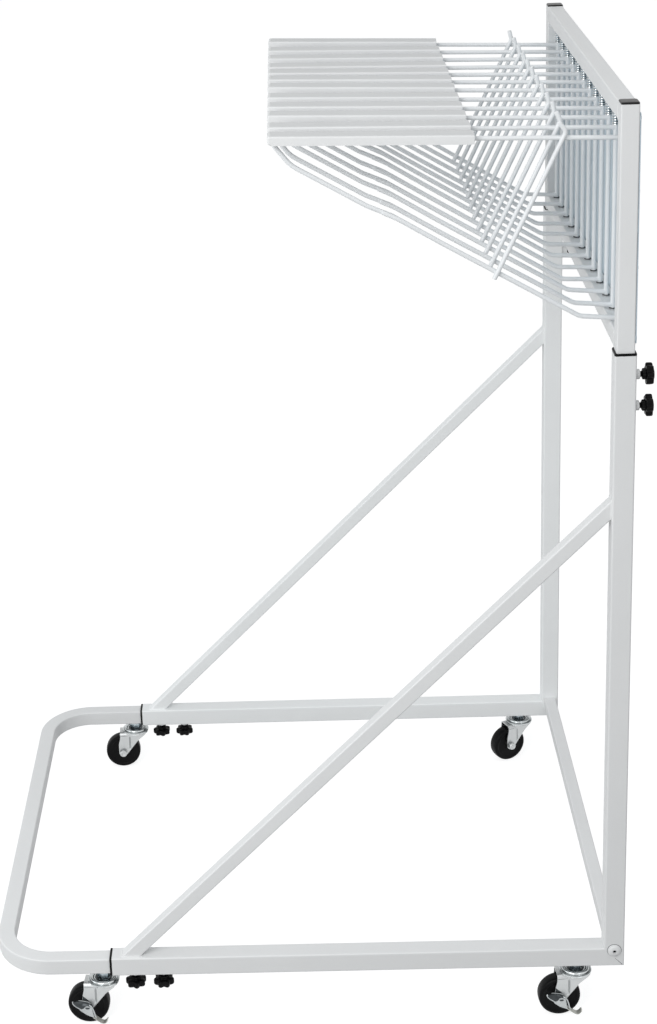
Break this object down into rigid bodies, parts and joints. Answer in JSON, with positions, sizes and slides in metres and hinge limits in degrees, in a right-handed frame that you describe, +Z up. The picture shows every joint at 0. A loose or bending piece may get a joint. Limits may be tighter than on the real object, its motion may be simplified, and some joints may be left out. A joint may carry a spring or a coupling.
{
  "type": "plan hanging rack",
  "caption": "Wheeled rack for hanging plans: square-tube frame with telescoping mast and foot, swinging sprung wire arms with sleeves, star knobs and braked casters.",
  "frame": {"origin": "on the floor, at the middle of the rack's bounding box", "axes": "+Z up, -X towards the front where the arms and the bent tube point, -Y towards the near side frame"},
  "size_m": [0.969, 0.8008, 1.3913],
  "materials": {
    "frame_paint": "satin",
    "arm_paint": "satin",
    "black_plastic": "satin",
    "zinc": "bright",
    "tyre": "satin"
  },
  "bodies": {
    "frame": {"side_frame_near": "frame_paint", "post_collar_near": "black_plastic", "base_collar_near": "black_plastic", "cross_bolt_near": "zinc", "side_frame_far": "frame_paint", "post_collar_far": "black_plastic", "base_collar_far": "black_plastic", "cross_bolt_far": "zinc", "rear_cross_tube": "frame_paint", "caster_stem_rear_near": "zinc", "caster_stem_rear_far": "zinc"},
    "upper": {"top_plug_near": "black_plastic", "top_plug_far": "black_plastic", "upper_frame": "frame_paint", "back_panel": "frame_paint"},
    "rear_knob_near_1": {"rear_knob_near_1": "black_plastic"},
    "base_knob_near_1": {"base_knob_near_1": "black_plastic"},
    "rear_knob_near_2": {"rear_knob_near_2": "black_plastic"},
    "base_knob_near_2": {"base_knob_near_2": "black_plastic"},
    "rear_knob_far_1": {"rear_knob_far_1": "black_plastic"},
    "base_knob_far_1": {"base_knob_far_1": "black_plastic"},
    "rear_knob_far_2": {"rear_knob_far_2": "black_plastic"},
    "base_knob_far_2": {"base_knob_far_2": "black_plastic"},
    "front": {"front_tube": "frame_paint", "caster_stem_front_near": "zinc", "caster_stem_front_far": "zinc"},
    "arm_01": {"arm_01": "arm_paint", "spring_01": "zinc"},
    "arm_02": {"arm_02": "arm_paint", "spring_02": "zinc"},
    "arm_03": {"arm_03": "arm_paint", "spring_03": "zinc"},
    "arm_04": {"arm_04": "arm_paint", "spring_04": "zinc"},
    "arm_05": {"arm_05": "arm_paint", "spring_05": "zinc"},
    "arm_06": {"arm_06": "arm_paint", "spring_06": "zinc"},
    "arm_07": {"arm_07": "arm_paint", "spring_07": "zinc"},
    "arm_08": {"arm_08": "arm_paint", "spring_08": "zinc"},
    "arm_09": {"arm_09": "arm_paint", "spring_09": "zinc"},
    "arm_10": {"arm_10": "arm_paint", "spring_10": "zinc"},
    "arm_11": {"arm_11": "arm_paint", "spring_11": "zinc"},
    "arm_12": {"arm_12": "arm_paint", "spring_12": "zinc"},
    "fork_front_near": {"caster_fork_front_near": "zinc"},
    "wheel_front_near": {"caster_wheel_front_near": "tyre"},
    "brake_front_near": {"brake_pedal_front_near": "zinc"},
    "fork_rear_near": {"caster_fork_rear_near": "zinc"},
    "wheel_rear_near": {"caster_wheel_rear_near": "tyre"},
    "brake_rear_near": {"brake_pedal_rear_near": "zinc"},
    "fork_front_far": {"caster_fork_front_far": "zinc"},
    "wheel_front_far": {"caster_wheel_front_far": "tyre"},
    "fork_rear_far": {"caster_fork_rear_far": "zinc"},
    "wheel_rear_far": {"caster_wheel_rear_far": "tyre"}
  },
  "joints": [
    {"name": "mast_slide", "type": "slide", "parent": "frame", "child": "upper", "axis": [0, 0, 1], "range_m": [0, 0.25]},
    {"name": "foot_slide", "type": "slide", "parent": "frame", "child": "front", "axis": [-1, 0, 0], "range_m": [0, 0.15]},
    {"name": "arm_01_swing", "type": "hinge", "parent": "upper", "child": "arm_01", "pos_m": [0.4415, -0.33, 1.079], "axis": [0, 0, 1], "range_deg": [-2.4, 57]},
    {"name": "arm_02_swing", "type": "hinge", "parent": "upper", "child": "arm_02", "pos_m": [0.4415, -0.27, 1.079], "axis": [0, 0, 1], "range_deg": [-4.5, 2.4]},
    {"name": "arm_03_swing", "type": "hinge", "parent": "upper", "child": "arm_03", "pos_m": [0.4415, -0.21, 1.079], "axis": [0, 0, 1], "range_deg": [-2.5, 4.5]},
    {"name": "arm_04_swing", "type": "hinge", "parent": "upper", "child": "arm_04", "pos_m": [0.4415, -0.15, 1.079], "axis": [0, 0, 1], "range_deg": [-3.2, 2.5]},
    {"name": "arm_05_swing", "type": "hinge", "parent": "upper", "child": "arm_05", "pos_m": [0.4415, -0.09, 1.079], "axis": [0, 0, 1], "range_deg": [-4.4, 3.2]},
    {"name": "arm_06_swing", "type": "hinge", "parent": "upper", "child": "arm_06", "pos_m": [0.4415, -0.03, 1.079], "axis": [0, 0, 1], "range_deg": [-2.3, 4.4]},
    {"name": "arm_07_swing", "type": "hinge", "parent": "upper", "child": "arm_07", "pos_m": [0.4415, 0.03, 1.079], "axis": [0, 0, 1], "range_deg": [-1.6, 2.3]},
    {"name": "arm_08_swing", "type": "hinge", "parent": "upper", "child": "arm_08", "pos_m": [0.4415, 0.09, 1.079], "axis": [0, 0, 1], "range_deg": [-1.2, 1.6]},
    {"name": "arm_09_swing", "type": "hinge", "parent": "upper", "child": "arm_09", "pos_m": [0.4415, 0.15, 1.079], "axis": [0, 0, 1], "range_deg": [-3.9, 1.2]},
    {"name": "arm_10_swing", "type": "hinge", "parent": "upper", "child": "arm_10", "pos_m": [0.4415, 0.21, 1.079], "axis": [0, 0, 1], "range_deg": [-3.7, 3.9]},
    {"name": "arm_11_swing", "type": "hinge", "parent": "upper", "child": "arm_11", "pos_m": [0.4415, 0.27, 1.079], "axis": [0, 0, 1], "range_deg": [-4.9, 3.7]},
    {"name": "arm_12_swing", "type": "hinge", "parent": "upper", "child": "arm_12", "pos_m": [0.4415, 0.33, 1.079], "axis": [0, 0, 1], "range_deg": [-57, 4.9]},
    {"name": "swivel_front_near", "type": "hinge", "parent": "front", "child": "fork_front_near", "pos_m": [-0.3195, -0.375, 0.071], "axis": [0, 0, 1], "continuous": true},
    {"name": "roll_front_near", "type": "hinge", "parent": "fork_front_near", "child": "wheel_front_near", "pos_m": [-0.34394, -0.37329, 0.0315], "axis": [0.0698, 0.9976, 0], "continuous": true},
    {"name": "brake_front_near_tip", "type": "hinge", "parent": "fork_front_near", "child": "brake_front_near", "pos_m": [-0.34499, -0.38825, 0.0315], "axis": [0.0698, 0.9976, 0], "range_deg": [-18, 10]},
    {"name": "swivel_rear_near", "type": "hinge", "parent": "frame", "child": "fork_rear_near", "pos_m": [0.3865, -0.375, 0.071], "axis": [0, 0, 1], "continuous": true},
    {"name": "roll_rear_near", "type": "hinge", "parent": "fork_rear_near", "child": "wheel_rear_near", "pos_m": [0.36206, -0.37671, 0.0315], "axis": [-0.0698, 0.9976, 0], "continuous": true},
    {"name": "brake_rear_near_tip", "type": "hinge", "parent": "fork_rear_near", "child": "brake_rear_near", "pos_m": [0.36311, -0.39167, 0.0315], "axis": [-0.0698, 0.9976, 0], "range_deg": [-18, 10]},
    {"name": "swivel_front_far", "type": "hinge", "parent": "front", "child": "fork_front_far", "pos_m": [-0.3195, 0.375, 0.071], "axis": [0, 0, 1], "continuous": true},
    {"name": "roll_front_far", "type": "hinge", "parent": "fork_front_far", "child": "wheel_front_far", "pos_m": [-0.34397, 0.37372, 0.0315], "axis": [-0.0523, 0.9986, 0], "continuous": true},
    {"name": "swivel_rear_far", "type": "hinge", "parent": "frame", "child": "fork_rear_far", "pos_m": [0.3865, 0.375, 0.071], "axis": [0, 0, 1], "continuous": true},
    {"name": "roll_rear_far", "type": "hinge", "parent": "fork_rear_far", "child": "wheel_rear_far", "pos_m": [0.36448, 0.36426, 0.0315], "axis": [-0.4384, 0.8988, 0], "continuous": true},
    {"name": "rear_knob_near_1_turn", "type": "hinge", "parent": "frame", "child": "rear_knob_near_1", "pos_m": [0.4565, -0.375, 1.013], "axis": [1, 0, 0], "range_deg": [0, 540]},
    {"name": "rear_knob_near_2_turn", "type": "hinge", "parent": "frame", "child": "rear_knob_near_2", "pos_m": [0.4565, -0.375, 0.968], "axis": [1, 0, 0], "range_deg": [0, 540]},
    {"name": "base_knob_near_1_turn", "type": "hinge", "parent": "frame", "child": "base_knob_near_1", "pos_m": [-0.271, -0.375, 0.086], "axis": [0, 0, -1], "range_deg": [0, 540]},
    {"name": "base_knob_near_2_turn", "type": "hinge", "parent": "frame", "child": "base_knob_near_2", "pos_m": [-0.229, -0.375, 0.086], "axis": [0, 0, -1], "range_deg": [0, 540]},
    {"name": "rear_knob_far_1_turn", "type": "hinge", "parent": "frame", "child": "rear_knob_far_1", "pos_m": [0.4565, 0.375, 1.013], "axis": [1, 0, 0], "range_deg": [0, 540]},
    {"name": "rear_knob_far_2_turn", "type": "hinge", "parent": "frame", "child": "rear_knob_far_2", "pos_m": [0.4565, 0.375, 0.968], "axis": [1, 0, 0], "range_deg": [0, 540]},
    {"name": "base_knob_far_1_turn", "type": "hinge", "parent": "frame", "child": "base_knob_far_1", "pos_m": [-0.271, 0.375, 0.086], "axis": [0, 0, -1], "range_deg": [0, 540]},
    {"name": "base_knob_far_2_turn", "type": "hinge", "parent": "frame", "child": "base_knob_far_2", "pos_m": [-0.229, 0.375, 0.086], "axis": [0, 0, -1], "range_deg": [0, 540]}
  ]
}
